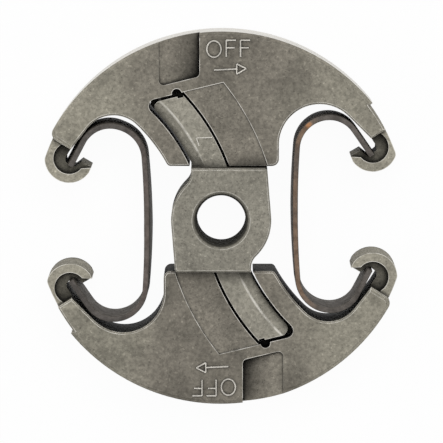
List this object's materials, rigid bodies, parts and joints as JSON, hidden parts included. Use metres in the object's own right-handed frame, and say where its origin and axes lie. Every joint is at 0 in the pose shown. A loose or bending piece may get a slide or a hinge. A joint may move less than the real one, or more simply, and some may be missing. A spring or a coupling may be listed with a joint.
{
  "type": "centrifugal clutch",
  "caption": "Centrifugal clutch with a threaded S-armed hub, swinging friction shoes and C-shaped strip springs; it engages a drum as speed rises",
  "frame": {"origin": "on the bore axis, in the plane of the shoes' rear faces, on which the clutch lies", "axes": "+Z out of the front face along the bore, +Y from the bore towards the upper shoe, +X to the right as seen from the front"},
  "size_m": [0.0662, 0.0702, 0.0157],
  "materials": {
    "hub_steel": "as-sintered grey steel with lightly worn edges",
    "shoe_steel": "as-sintered mottled grey-brown steel",
    "spring_steel": "dark tempered strip with faint brown streaks"
  },
  "bodies": {
    "hub": {"hub": "hub_steel", "spring_left": "spring_steel", "spring_right": "spring_steel"},
    "shoe_upper": {"shoe_upper": "shoe_steel"},
    "shoe_lower": {"shoe_lower": "shoe_steel"}
  },
  "joints": [
    {"name": "upper_swing", "type": "hinge", "parent": "hub", "child": "shoe_upper", "pos_m": [-0.0365, -0.004, 0], "axis": [0, 0, 1], "range_deg": [0, 1.95], "stiffness_Nm_per_rad": 2, "springref_deg": -2.86, "deforming": ["spring_left", "spring_right"]},
    {"name": "lower_swing", "type": "hinge", "parent": "hub", "child": "shoe_lower", "pos_m": [0.0365, 0.004, 0], "axis": [0, 0, 1], "range_deg": [0, 1.95], "stiffness_Nm_per_rad": 2, "springref_deg": -2.86, "deforming": ["spring_left", "spring_right"]}
  ]
}
